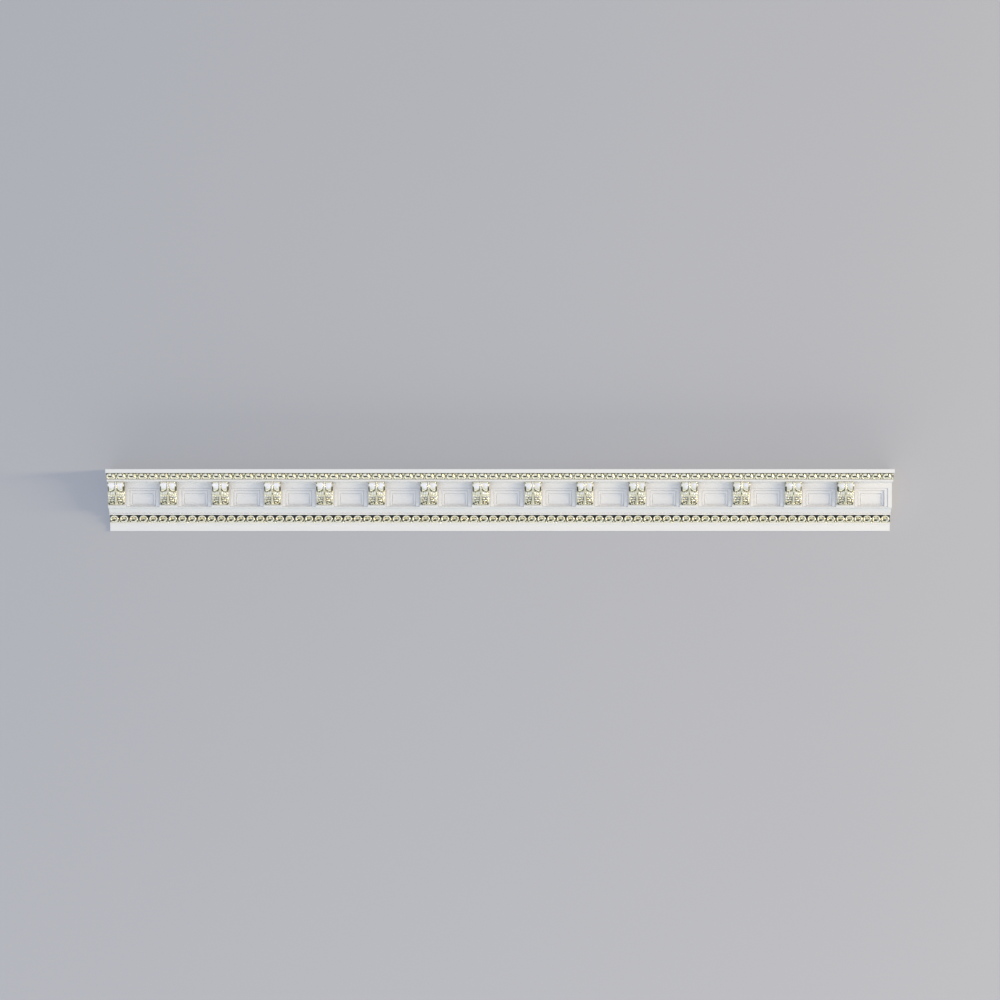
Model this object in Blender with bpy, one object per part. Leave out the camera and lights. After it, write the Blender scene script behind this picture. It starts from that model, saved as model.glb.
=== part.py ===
# Bracketed cornice: a white run moulding with gilded leaf brackets, leaf band and egg band.
# It runs along X, its front faces -Y, and its wall face lies in the plane Y = 0.
# Depths are measured out from the wall and levels up from the lower edge, in metres.
import math

import bmesh
import bpy

# Overall size
LENGTH = 2.400
HEIGHT = 0.190
PROJECTION = 0.150
ORIGIN_LEVEL = 0.095
FIT_GAP = 0.0003

# Lower fascia and the shelf under the egg band
BASE_DEPTH = 0.0080
BASE_COVE_LEVEL = 0.0170
SHELF_DEPTH = 0.0135
SHELF_COVE_TOP = 0.0205
SHELF_LEVEL = 0.0260

# Groove that holds the egg band, and the lip over it
GROOVE_DEPTH = 0.0110
GROOVE_TOP = 0.0513
LIP_DEPTH = 0.0340
LIP_TOP = 0.0545
SPLAY_FOOT_DEPTH = 0.0304
SPLAY_FOOT_LEVEL = 0.0555
SPLAY_HEAD_DEPTH = 0.0520
SPLAY_HEAD_LEVEL = 0.0695

# Top fascia, leaf bed and fillet, measured down from the top
ARRIS = 0.0012
FASCIA_HEIGHT = 0.0121
FASCIA_FOOT = HEIGHT - FASCIA_HEIGHT
LEAF_BED_HEIGHT = 0.0200
FILLET_TOP = FASCIA_FOOT - LEAF_BED_HEIGHT
FILLET_HEIGHT = 0.0042
FILLET_DEPTH = 0.1100
LEAF_BED_FOOT_DEPTH = 0.1050
LEAF_BED_HEAD_DEPTH = 0.1210

# Soffit, cove and frieze
SOFFIT_EDGE_DEPTH = 0.1000
SOFFIT_EDGE_LEVEL = FILLET_TOP - FILLET_HEIGHT
SOFFIT_RISE = 0.0059
COVE_RADIUS = 0.0030
FRIEZE_DEPTH = 0.0698
FRIEZE_FOOT = 0.0759
FRIEZE_HEAD = SOFFIT_EDGE_LEVEL - SOFFIT_RISE - COVE_RADIUS

# Spacing of brackets and panels
BRACKETS = 15
END_MARGIN = 0.0100
MODULE = (LENGTH - END_MARGIN) / BRACKETS
BRACKET_WIDTH = 0.0520
BRACKET_FOOT = 0.0807

# Ledge under each bracket
LEDGE_WIDTH = 0.0560
LEDGE_FOOT = 0.0765
LEDGE_TOP = 0.0803
LEDGE_STAND = 0.0050
LEDGE_SPLAY = 0.0012

# Sunk panel between brackets: for each of its three steps, how far in from the module's side,
# the frieze's foot and the frieze's head it starts, how far it sinks and how much it tapers
PANEL_STEPS = (
    (0.0280, -0.0017, 0.0123, 0.0020, 0.0008),
    (0.0387, 0.0013, 0.0192, 0.0050, 0.0014),
    (0.0469, 0.0059, 0.0285, 0.0025, 0.0008),
)
CUTTER_STAND = 0.0040

# Egg band
EGG_MARGIN = 0.0138
EGG_SPACES = 80
EGG_SPACES_WIDE = 30
EGG_SPACES_NARROW = 5
EGG_PITCH_WIDE = 0.02995
EGG_PITCH_NARROW = 0.0274
EGG_BASE_DEPTH = 0.0133
EGG_CENTRE_LEVEL = 0.0382
EGG_HALF_WIDTH = 0.0126
EGG_HALF_HEIGHT = 0.0113
EGG_SHOULDER_DEPTH = 0.0208
EGG_SHOULDER_SCALE = 0.80
EGG_FRONT_DEPTH = 0.0242
DART_DEPTH = 0.0185
DART_LEVEL = 0.0325
EGG_SIDES = 8

# Leaf band
LEAVES = 74
LEAF_PITCH = LENGTH / LEAVES
LEAF_SHIFT = -0.0028
LEAF_END_CLEARANCE = 0.0006
LEAF_FOOT_LEVEL = FILLET_TOP + FIT_GAP
LEAF_HEAD_LEVEL = FASCIA_FOOT - FIT_GAP
LEAF_BAR_FOOT = 0.0022
LEAF_BAR_HEAD = 0.0040
LEAF_HALF_WIDTH = 0.0152
LEAF_CROWN = 0.0060
LEAF_CROWN_SCALE = 0.84
LEAF_SHOULDER = 0.58
LEAF_SIDE_DROP = 0.44
LEAF_TIP_DROP = 0.54
LEAF_HEAD_SHARE = 0.80
LEAF_HEAD_SET = 0.10

# Leaf bracket, row by row from the head down: share of the height below the head, half width,
# then how far the edge, the lobe, the valley and the middle rib stand off the frieze
BRACKET_HEAD_STAND = 0.0270
BRACKET_FOOT_STAND = 0.0040
BRACKET_ROWS = (
    (0.077, 0.0230, 0.0280, 0.0300, 0.0290, 0.0312),
    (0.181, 0.0258, 0.0312, 0.0325, 0.0296, 0.0325),
    (0.307, 0.0218, 0.0215, 0.0302, 0.0255, 0.0300),
    (0.418, 0.0222, 0.0160, 0.0262, 0.0190, 0.0265),
    (0.474, 0.0260, 0.0125, 0.0205, 0.0175, 0.0245),
    (0.642, 0.0256, 0.0125, 0.0218, 0.0160, 0.0200),
    (0.697, 0.0238, 0.0120, 0.0158, 0.0130, 0.0185),
    (0.844, 0.0260, 0.0105, 0.0165, 0.0110, 0.0185),
    (0.934, 0.0222, 0.0045, 0.0085, 0.0080, 0.0210),
)
BRACKET_COLUMNS = (-1.0, -0.64, -0.26, 0.0, 0.26, 0.64, 1.0)

# Colours
WHITE = (0.84, 0.83, 0.81, 1.0)
GILT = (0.74, 0.64, 0.40, 1.0)


def material(name, colour, roughness, metallic):
    made = bpy.data.materials.new(name)
    made.use_nodes = True
    shader = made.node_tree.nodes["Principled BSDF"]
    shader.inputs["Base Color"].default_value = colour
    shader.inputs["Roughness"].default_value = roughness
    shader.inputs["Metallic"].default_value = metallic
    made.diffuse_color = colour
    return made


def point(x, depth, level):
    return (x, -depth, level - ORIGIN_LEVEL)


def arc(depth, level, depth_radius, level_radius, start, end, steps):
    """Points on a quarter of an ellipse, as depth and level pairs."""
    found = []
    for step in range(steps + 1):
        angle = math.radians(start + (end - start) * step / steps)
        across = depth + depth_radius * math.cos(angle)
        up = level + level_radius * math.sin(angle)
        found.append((across, up))
    return found


def mesh_object(name, bm, made):
    bmesh.ops.remove_doubles(bm, verts=bm.verts[:], dist=1e-6)
    bmesh.ops.recalc_face_normals(bm, faces=bm.faces[:])
    mesh = bpy.data.meshes.new(name)
    bm.to_mesh(mesh)
    bm.free()
    obj = bpy.data.objects.new(name, mesh)
    bpy.context.scene.collection.objects.link(obj)
    if made:
        mesh.materials.append(made)
    return obj


def shade(mesh, degrees):
    mesh.shade_smooth()
    mesh.set_sharp_from_angle(angle=math.radians(degrees))


def run_profile():
    """The outline of the run body, from the wall's foot round the front to the wall's head."""
    base_cove_depth = SHELF_DEPTH - BASE_DEPTH
    base_cove_rise = SHELF_COVE_TOP - BASE_COVE_LEVEL
    nose_depth = FRIEZE_DEPTH - SPLAY_HEAD_DEPTH
    nose_rise = FRIEZE_FOOT - SPLAY_HEAD_LEVEL
    cove_depth = FRIEZE_DEPTH + COVE_RADIUS
    outline = [(0.0, 0.0), (BASE_DEPTH - ARRIS, 0.0), (BASE_DEPTH, ARRIS)]
    outline += arc(SHELF_DEPTH, BASE_COVE_LEVEL, base_cove_depth, base_cove_rise, 180, 90, 4)
    outline += [(SHELF_DEPTH, SHELF_LEVEL), (GROOVE_DEPTH, SHELF_LEVEL)]
    outline += [(GROOVE_DEPTH, GROOVE_TOP), (LIP_DEPTH, GROOVE_TOP), (LIP_DEPTH, LIP_TOP)]
    outline += [(SPLAY_FOOT_DEPTH, SPLAY_FOOT_LEVEL)]
    outline += arc(SPLAY_HEAD_DEPTH, FRIEZE_FOOT, nose_depth, nose_rise, 270, 360, 5)
    outline += arc(cove_depth, FRIEZE_HEAD, COVE_RADIUS, COVE_RADIUS, 180, 90, 3)
    outline += [(SOFFIT_EDGE_DEPTH, SOFFIT_EDGE_LEVEL), (FILLET_DEPTH, SOFFIT_EDGE_LEVEL)]
    outline += [(FILLET_DEPTH, FILLET_TOP), (LEAF_BED_FOOT_DEPTH, FILLET_TOP)]
    outline += [(LEAF_BED_HEAD_DEPTH, FASCIA_FOOT), (PROJECTION - ARRIS, FASCIA_FOOT)]
    outline += [(PROJECTION, FASCIA_FOOT + ARRIS), (PROJECTION, HEIGHT - ARRIS)]
    outline += [(PROJECTION - ARRIS, HEIGHT), (0.0, HEIGHT)]
    return outline


def run_body(made):
    bm = bmesh.new()
    outline = [bm.verts.new(point(-LENGTH / 2, *place)) for place in run_profile()]
    end = bm.faces.new(outline)
    moved = bmesh.ops.extrude_face_region(bm, geom=[end])
    far = [item for item in moved["geom"] if isinstance(item, bmesh.types.BMVert)]
    bmesh.ops.translate(bm, verts=far, vec=(LENGTH, 0, 0))
    return mesh_object("cornice_body", bm, made)


def rectangle(bm, centre, half_width, foot, head, depth):
    corners = ((-half_width, foot), (half_width, foot), (half_width, head), (-half_width, head))
    return [bm.verts.new(point(centre + x, depth, level)) for x, level in corners]


def join_rings(bm, first, second):
    for i in range(len(first)):
        j = (i + 1) % len(first)
        bm.faces.new((first[i], first[j], second[j], second[i]))


def bracket_x(index):
    return -LENGTH / 2 + BRACKET_WIDTH / 2 + index * MODULE


def panel_cutters():
    """One stepped block per panel, each wider at its mouth than at its floor."""
    bm = bmesh.new()
    for index in range(BRACKETS):
        centre = bracket_x(index) + MODULE / 2
        depth = FRIEZE_DEPTH
        rings = []
        for side, above_foot, below_head, sinking, taper in PANEL_STEPS:
            sizes = (MODULE / 2 - side, FRIEZE_FOOT + above_foot, FRIEZE_HEAD - below_head)
            if not rings:
                rings.append(rectangle(bm, centre, *sizes, FRIEZE_DEPTH + CUTTER_STAND))
            rings.append(rectangle(bm, centre, *sizes, depth))
            depth -= sinking
            width, foot, head = sizes
            rings.append(rectangle(bm, centre, width - taper, foot + taper, head - taper, depth))
        bm.faces.new(rings[0])
        bm.faces.new(rings[-1])
        for first, second in zip(rings, rings[1:]):
            join_rings(bm, first, second)
    cutter = mesh_object("panel_cutter", bm, None)
    cutter.hide_render = True
    cutter.display_type = "WIRE"
    return cutter


def bracket_ledges():
    """The small ledges under the brackets, their backs let into the frieze."""
    bm = bmesh.new()
    outline = (
        (FRIEZE_DEPTH - LEDGE_STAND, LEDGE_FOOT),
        (FRIEZE_DEPTH + LEDGE_STAND - LEDGE_SPLAY, LEDGE_FOOT),
        (FRIEZE_DEPTH + LEDGE_STAND, LEDGE_FOOT + LEDGE_SPLAY),
        (FRIEZE_DEPTH + LEDGE_STAND, LEDGE_TOP),
        (FRIEZE_DEPTH - LEDGE_STAND, LEDGE_TOP),
    )
    for index in range(BRACKETS):
        left = max(bracket_x(index) - LEDGE_WIDTH / 2, -LENGTH / 2)
        right = bracket_x(index) + LEDGE_WIDTH / 2
        ends = [[bm.verts.new(point(x, *place)) for place in outline] for x in (left, right)]
        join_rings(bm, *ends)
        for end in ends:
            bm.faces.new(end)
    ledges = mesh_object("ledge_blocks", bm, None)
    ledges.hide_render = True
    ledges.display_type = "WIRE"
    return ledges


def boolean(obj, other, operation):
    step = obj.modifiers.new(other.name, "BOOLEAN")
    step.operation = operation
    step.solver = "EXACT"
    step.object = other


def bracket_mesh(made):
    """One leaf bracket, its back on the plane Y = 0 and its middle on X = 0."""
    bm = bmesh.new()
    soffit_run = SOFFIT_EDGE_DEPTH - FRIEZE_DEPTH - COVE_RADIUS
    head_run = BRACKET_HEAD_STAND - COVE_RADIUS
    head = FRIEZE_HEAD + COVE_RADIUS + SOFFIT_RISE * head_run / soffit_run - 2 * FIT_GAP
    height = head - BRACKET_FOOT
    shoulder = FRIEZE_HEAD + COVE_RADIUS - 2 * FIT_GAP
    half = BRACKET_WIDTH / 2

    def row(drop, half_width, stands):
        level = head - drop
        places = zip(BRACKET_COLUMNS, stands)
        return [bm.verts.new(point(half_width * across, out, level)) for across, out in places]

    rows = [row(0.0, half, [BRACKET_HEAD_STAND] * len(BRACKET_COLUMNS))]
    for share, half_width, edge, lobe, valley, rib in BRACKET_ROWS:
        rows.append(row(share * height, half_width, (edge, lobe, valley, rib, valley, lobe, edge)))
    rows.append(row(height, half, [BRACKET_FOOT_STAND] * len(BRACKET_COLUMNS)))
    for upper, lower in zip(rows, rows[1:]):
        for i in range(len(BRACKET_COLUMNS) - 1):
            bm.faces.new((upper[i], lower[i], lower[i + 1], upper[i + 1]))

    def back(vert, depth, level):
        return bm.verts.new(point(vert.co.x, depth, level))

    edges = []
    for side in (0, -1):
        crown = back(rows[0][side], COVE_RADIUS + 2 * FIT_GAP, shoulder - FIT_GAP)
        heel = [back(rows[0][side], 0.0, FRIEZE_HEAD - FIT_GAP)]
        heel += [back(r[side], 0.0, r[side].co.z + ORIGIN_LEVEL) for r in rows[2:]]
        front = [r[side] for r in rows]
        bm.faces.new([crown, heel[0], heel[1], front[2], front[1], front[0]])
        for i in range(1, len(heel) - 1):
            bm.faces.new((heel[i], heel[i + 1], front[i + 2], front[i + 1]))
        edges.append((crown, heel))
    (left_crown, left_heel), (right_crown, right_heel) = edges
    bm.faces.new([left_crown, right_crown] + rows[0][::-1])
    bm.faces.new((left_crown, left_heel[0], right_heel[0], right_crown))
    bm.faces.new([left_heel[-1], right_heel[-1]] + rows[-1][::-1])
    bm.faces.new(left_heel + right_heel[::-1])
    obj = mesh_object("modillion_01", bm, made)
    shade(obj.data, 50)
    return obj


def egg_band(made):
    bm = bmesh.new()
    ends = EGG_SPACES_WIDE * EGG_PITCH_WIDE + EGG_SPACES_NARROW * EGG_PITCH_NARROW
    middle = EGG_SPACES - EGG_SPACES_WIDE - EGG_SPACES_NARROW
    middle_pitch = (LENGTH - 2 * EGG_MARGIN - ends) / middle
    spaces = [EGG_PITCH_WIDE] * EGG_SPACES_WIDE + [middle_pitch] * middle
    spaces += [EGG_PITCH_NARROW] * EGG_SPACES_NARROW
    foot = SHELF_LEVEL + FIT_GAP
    head = GROOVE_TOP - FIT_GAP
    back_depth = GROOVE_DEPTH + FIT_GAP

    def seam(x, dart):
        depth = DART_DEPTH if dart else EGG_BASE_DEPTH
        return (
            bm.verts.new(point(x, EGG_BASE_DEPTH, head)),
            bm.verts.new(point(x, depth, DART_LEVEL)),
            bm.verts.new(point(x, EGG_BASE_DEPTH, foot)),
        )

    def ring(centre, scale, depth):
        made_ring = []
        for side in range(EGG_SIDES):
            angle = 2 * math.pi * side / EGG_SIDES
            x = centre + scale * EGG_HALF_WIDTH * math.cos(angle)
            level = EGG_CENTRE_LEVEL + scale * EGG_HALF_HEIGHT * math.sin(angle)
            made_ring.append(bm.verts.new(point(x, depth, level)))
        return made_ring

    centre = -LENGTH / 2 + EGG_MARGIN
    seams = [seam(-LENGTH / 2, False)]
    for space in spaces + [None]:
        seams.append(seam(centre + space / 2, True) if space else seam(LENGTH / 2, False))
        (left_head, left_dart, left_foot), (right_head, right_dart, right_foot) = seams[-2:]
        base = ring(centre, 1.0, EGG_BASE_DEPTH)
        shoulder = ring(centre, EGG_SHOULDER_SCALE, EGG_SHOULDER_DEPTH)
        crown = bm.verts.new(point(centre, EGG_FRONT_DEPTH, EGG_CENTRE_LEVEL))
        bm.faces.new((right_dart, right_head, base[1], base[0]))
        bm.faces.new((right_head, left_head, base[3], base[2], base[1]))
        bm.faces.new((left_head, left_dart, base[4], base[3]))
        bm.faces.new((left_dart, left_foot, base[5], base[4]))
        bm.faces.new((left_foot, right_foot, base[7], base[6], base[5]))
        bm.faces.new((right_foot, right_dart, base[0], base[7]))
        join_rings(bm, base, shoulder)
        for i in range(EGG_SIDES):
            bm.faces.new((shoulder[i], shoulder[(i + 1) % EGG_SIDES], crown))
        centre += space or 0.0
    close_band(bm, seams, (back_depth, foot), (back_depth, head))
    obj = mesh_object("egg_strip", bm, made)
    shade(obj.data, 40)
    return obj


def close_band(bm, seams, back_foot, back_head):
    """Adds the flat back, head, foot and square ends behind a band's front."""
    backs = []
    for end in (seams[0], seams[-1]):
        x = end[0].co.x
        low = bm.verts.new(point(x, *back_foot))
        high = bm.verts.new(point(x, *back_head))
        bm.faces.new(list(end) + [low, high])
        backs.append((low, high))
    (left_low, left_high), (right_low, right_high) = backs
    bm.faces.new((left_low, left_high, right_high, right_low))
    bm.faces.new([seam[0] for seam in seams] + [right_high, left_high])
    bm.faces.new([seam[-1] for seam in seams] + [right_low, left_low])


def leaf_band(made):
    bm = bmesh.new()
    bed_lean = (LEAF_BED_HEAD_DEPTH - LEAF_BED_FOOT_DEPTH) / (FASCIA_FOOT - FILLET_TOP)
    back_foot = LEAF_BED_FOOT_DEPTH + bed_lean * (LEAF_FOOT_LEVEL - FILLET_TOP) + 2 * FIT_GAP
    back_head = LEAF_BED_FOOT_DEPTH + bed_lean * (LEAF_HEAD_LEVEL - FILLET_TOP) + 2 * FIT_GAP

    def place(x, share, stand):
        """A point on the leaning front: share 0 at its foot and 1 at its head."""
        foot = (back_foot + LEAF_BAR_FOOT, LEAF_FOOT_LEVEL)
        head = (back_head + LEAF_BAR_HEAD, LEAF_HEAD_LEVEL)
        depth, level = [low + share * (high - low) for low, high in zip(foot, head)]
        return bm.verts.new(point(x, depth + stand, level))

    def outline(centre, rise, scale):
        """The tongue of one leaf, broad at its head and rounded at its foot."""
        half = LEAF_HALF_WIDTH * scale
        near_end = centre - LEAF_HALF_WIDTH < -LENGTH / 2
        half = min(half, centre + LENGTH / 2 - LEAF_END_CLEARANCE) if near_end else half
        top = 1.0 - LEAF_HEAD_SET / scale
        side = LEAF_SHOULDER - LEAF_SIDE_DROP * scale
        tip = LEAF_SHOULDER - LEAF_TIP_DROP * scale
        return [
            place(centre + half * LEAF_HEAD_SHARE, top, rise / 2),
            place(centre - half * LEAF_HEAD_SHARE, top, rise / 2),
            place(centre - half, LEAF_SHOULDER, rise),
            place(centre - half * 0.62, side, rise),
            place(centre, tip, rise),
            place(centre + half * 0.62, side, rise),
            place(centre + half, LEAF_SHOULDER, rise),
        ]

    seams = []
    for number in range(LEAVES + 1):
        x = -LENGTH / 2 + number * LEAF_PITCH
        x += LEAF_SHIFT if 0 < number < LEAVES else 0.0
        seams.append((place(x, 1.0, 0.0), place(x, 0.0, 0.0)))
    for number in range(LEAVES):
        centre = -LENGTH / 2 + (number + 0.5) * LEAF_PITCH + LEAF_SHIFT
        (left_head, left_foot), (right_head, right_foot) = seams[number : number + 2]
        base = outline(centre, 0.0, 1.0)
        crown = outline(centre, LEAF_CROWN, LEAF_CROWN_SCALE)
        bm.faces.new((right_head, left_head, base[1], base[0]))
        bm.faces.new((left_head, left_foot, base[3], base[2], base[1]))
        bm.faces.new((left_foot, right_foot, base[5], base[4], base[3]))
        bm.faces.new((right_foot, right_head, base[0], base[6], base[5]))
        join_rings(bm, base, crown)
        bm.faces.new(crown)
    close_band(bm, seams, (back_foot, LEAF_FOOT_LEVEL), (back_head, LEAF_HEAD_LEVEL))
    obj = mesh_object("leaf_strip", bm, made)
    shade(obj.data, 40)
    return obj


for item in list(bpy.data.objects):
    bpy.data.objects.remove(item)

# White run body with its panels and ledges
body = run_body(material("white_paint", WHITE, 0.5, 0.0))
boolean(body, panel_cutters(), "DIFFERENCE")
boolean(body, bracket_ledges(), "UNION")

# Gilded brackets, one every module from the left end
first_bracket = bracket_mesh(material("gilt_bracket", GILT, 0.3, 0.9))
first_bracket.location = (bracket_x(0), -FRIEZE_DEPTH - FIT_GAP, 0)
for number in range(1, BRACKETS):
    copy = bpy.data.objects.new(f"modillion_{number + 1:02d}", first_bracket.data)
    copy.location = (bracket_x(number), -FRIEZE_DEPTH - FIT_GAP, 0)
    bpy.context.scene.collection.objects.link(copy)

# Gilded bands
leaf_band(material("gilt_leaf", GILT, 0.3, 0.9))
egg_band(material("gilt_egg", GILT, 0.3, 0.9))
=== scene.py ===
# %% [markdown]
# # A white cornice with gilded brackets
# This lesson dresses a length of wall cornice: a white run moulding that projects 150 mm from
# the wall, with fifteen gilded leaf brackets, sunk panels between them, a gilded leaf band above
# and a gilded egg band below. The imported model comes first and stays fixed, because every piece
# made later has to sit where its solid sits. Its box is printed now and again at the end.

# %% Load the imported model
import math

import bmesh
import bpy
from mathutils import Matrix, Vector
from mathutils.bvhtree import BVHTree


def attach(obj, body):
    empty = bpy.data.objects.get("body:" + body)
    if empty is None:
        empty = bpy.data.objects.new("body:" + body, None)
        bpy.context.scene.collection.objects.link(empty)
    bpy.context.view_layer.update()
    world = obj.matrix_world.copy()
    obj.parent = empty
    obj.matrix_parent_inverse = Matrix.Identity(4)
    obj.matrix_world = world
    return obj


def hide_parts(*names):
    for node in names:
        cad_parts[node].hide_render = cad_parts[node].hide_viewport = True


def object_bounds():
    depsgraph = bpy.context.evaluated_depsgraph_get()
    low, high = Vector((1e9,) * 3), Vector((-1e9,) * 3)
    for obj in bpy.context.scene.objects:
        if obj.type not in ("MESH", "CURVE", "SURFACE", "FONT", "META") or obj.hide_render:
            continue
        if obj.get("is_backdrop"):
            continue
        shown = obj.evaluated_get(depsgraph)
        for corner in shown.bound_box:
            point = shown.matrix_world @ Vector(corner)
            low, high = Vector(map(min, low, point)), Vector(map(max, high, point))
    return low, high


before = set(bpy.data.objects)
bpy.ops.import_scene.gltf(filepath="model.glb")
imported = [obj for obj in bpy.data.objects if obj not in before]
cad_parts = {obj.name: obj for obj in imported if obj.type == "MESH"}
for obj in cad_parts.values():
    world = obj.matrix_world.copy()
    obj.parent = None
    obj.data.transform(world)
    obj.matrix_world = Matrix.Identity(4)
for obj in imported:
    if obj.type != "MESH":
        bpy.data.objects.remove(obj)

cad_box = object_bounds()
print("CAD box", [[round(number, 4) for number in corner] for corner in cad_box])

# %% [markdown]
# ## One way to name a place
# A plasterer measures a cornice by how far it stands out from the wall and how high it is above
# its lower edge. The whole script does the same in millimetres, and one small function turns
# such a place into Blender's metres. X runs along the cornice, the front faces -Y, and the wall
# is the plane Y = 0.

# %% Places along the run
LENGTH = 2400.0
HALF_LENGTH = LENGTH / 2
HEIGHT = 190.0
ORIGIN_LEVEL = 95.0
FRIEZE_DEPTH = 69.8
BRACKETS = 15
MODULE = (LENGTH - 10.0) / BRACKETS


def spot(x, depth, level):
    """A place given in millimetres, as a vector in metres."""
    return Vector((x, -depth, level - ORIGIN_LEVEL)) / 1000


def bracket_x(number):
    return -HALF_LENGTH + 26.0 + number * MODULE


print("bracket spacing", round(MODULE, 2), "mm")

# %% [markdown]
# ## A curve through a few named heights
# Carving is easier to describe by a few heights than by a formula. This curve passes through
# every given value and stays smooth between them, so a short row of numbers is enough for a rib
# that swells and sinks.

# %% Smooth values


def along(values, share):
    """The smooth curve through evenly spaced values, at a share from 0 to 1 of the way."""
    last = len(values) - 1
    index = min(int(share * last), last - 1)
    part = share * last - index
    p0 = values[max(index - 1, 0)]
    p1 = values[index]
    p2 = values[index + 1]
    p3 = values[min(index + 2, last)]
    bend = 2 * p0 - 5 * p1 + 4 * p2 - p3
    twist = 3 * p1 - p0 - 3 * p2 + p3
    return p1 + 0.5 * part * ((p2 - p0) + part * (bend + part * twist))


def quarter(depth, level, depth_radius, level_radius, start, stop, steps):
    """Points on a quarter ellipse between two angles in degrees."""
    turns = [math.radians(start + (stop - start) * step / steps) for step in range(steps + 1)]
    return [
        (depth + depth_radius * math.cos(a), level + level_radius * math.sin(a)) for a in turns
    ]


print("halfway through 0, 2, 1:", along((0, 2, 1), 0.5))

# %% [markdown]
# ## The white run
# A run moulding is one section drawn along a line. In a workshop a metal template is pulled
# along wet plaster; here the section is one face, extruded along X. The section goes up the
# front: lower fascia, cavetto and shelf, the deep groove that holds the egg band, its lip, the
# nosing, the flat frieze, the little cove and the soffit, then the fillet, the leaning bed of the
# leaf band and the top fascia.

# %% Section of the run
ARRIS = 1.2
LOWER_FASCIA = 8.0
SHELF_DEPTH = 13.5
GROOVE_DEPTH = 11.0
GROOVE_FOOT = 26.0
LIP_DEPTH = 34.0
LIP_LEVELS = (50.0, 53.8)
FILLET_DEPTH = 110.0
FILLET_LEVELS = (152.4, 158.7)
PROJECTION = 150.0
FASCIA_FOOT = 177.9


def run_section():
    """The section as pairs of depth and level, member by member from the foot to the top."""
    lower_fascia = [(0.0, 0.0), (LOWER_FASCIA - ARRIS, 0.0), (LOWER_FASCIA, ARRIS)]
    cavetto = quarter(SHELF_DEPTH, 17.0, 5.5, 3.5, 180, 90, 8)
    shelf = [(SHELF_DEPTH, GROOVE_FOOT)]
    groove = [(GROOVE_DEPTH, GROOVE_FOOT), (GROOVE_DEPTH, LIP_LEVELS[0])]
    lip = [(LIP_DEPTH, level) for level in LIP_LEVELS]
    splay = [(30.4, 54.9)]
    nosing = quarter(52.0, 75.9, 17.8, 6.4, 270, 360, 14)
    cove = quarter(72.8, 144.8, 3.0, 3.0, 180, 90, 6)
    soffit = [(100.0, 153.7), (102.6, FILLET_LEVELS[0])]
    fillet = [(FILLET_DEPTH, level) for level in FILLET_LEVELS]
    leaf_bed = [(105.6, FILLET_LEVELS[1]), (121.0, FASCIA_FOOT)]
    top_fascia = [
        (PROJECTION - ARRIS, FASCIA_FOOT), (PROJECTION, FASCIA_FOOT + ARRIS),
        (PROJECTION, HEIGHT - ARRIS), (PROJECTION - ARRIS, HEIGHT), (0.0, HEIGHT),
    ]
    lower_members = lower_fascia + cavetto + shelf + groove + lip + splay + nosing
    return lower_members + cove + soffit + fillet + leaf_bed + top_fascia


bm = bmesh.new()
end = bm.faces.new([bm.verts.new(spot(-HALF_LENGTH, *place)) for place in run_section()])
drawn = bmesh.ops.extrude_face_region(bm, geom=[end])
far = [item for item in drawn["geom"] if isinstance(item, bmesh.types.BMVert)]
bmesh.ops.translate(bm, verts=far, vec=(LENGTH / 1000, 0, 0))
bmesh.ops.recalc_face_normals(bm, faces=bm.faces[:])
arrises = [
    edge
    for edge in bm.edges
    if abs(edge.verts[0].co.x - edge.verts[1].co.x) > 1.0
    and edge.calc_face_angle(0.0) > math.radians(30)
    and min(-vert.co.y for vert in edge.verts) > 0.002
]
bmesh.ops.bevel(
    bm, geom=arrises, offset=0.0005, offset_type="OFFSET", affect="EDGES",
    segments=2, profile=0.5, material=-1,
)
print("softened", len(arrises), "arrises,", len(bm.faces), "faces")
run_mesh = bpy.data.meshes.new("white_run")
bm.to_mesh(run_mesh)
bm.free()

# %% [markdown]
# ## Sunk panels and ledges
# Between two brackets the frieze sinks in three shallow steps, like a coffer in a ceiling. The
# steps are one block with inset faces: each inset draws the next step's outline and a small
# extrusion lowers it. A narrow groove, which plasterers call a quirk, runs round the foot of each
# step and draws the thin dark lines. A Boolean then presses fifteen such blocks into the frieze.
# The ledges under the brackets are blocks of their own, joined on by a second Boolean. The
# block's edges are bevelled before it cuts, so the panel comes out with the soft inner corners
# of a casting.

# %% Panel and ledge blocks


def box(bm, low, high):
    """A box between two corners, each given as x, depth and level."""
    made = bmesh.ops.create_cube(bm, size=1.0)["verts"]
    a, b = spot(*low), spot(*high)
    size = [abs(q - p) for p, q in zip(a, b)]
    bmesh.ops.scale(bm, verts=made, vec=size)
    bmesh.ops.translate(bm, verts=made, vec=(a + b) / 2)
    return made


def soften(bm, edges, offset, segments=2):
    bmesh.ops.bevel(
        bm, geom=edges, offset=offset / 1000, offset_type="OFFSET", affect="EDGES",
        segments=segments, profile=0.5, material=-1, clamp_overlap=True,
    )


PANEL_STEPS = (
    # half width, foot and head levels, sinking, slope of the walls
    (51.7, 74.2, 132.5, 2.0, 0.5), (41.0, 77.2, 125.6, 5.0, 1.0), (32.8, 81.8, 116.3, 2.5, 0.6),
)
BLOCK_PROUD = 4.0
FIRST_INSET = 4.0  # its corners are then moved to the next step's outline
QUIRK = 1.2
QUIRK_DEPTH = 1.9
SHARP_TURN = 0.4  # radians


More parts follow.
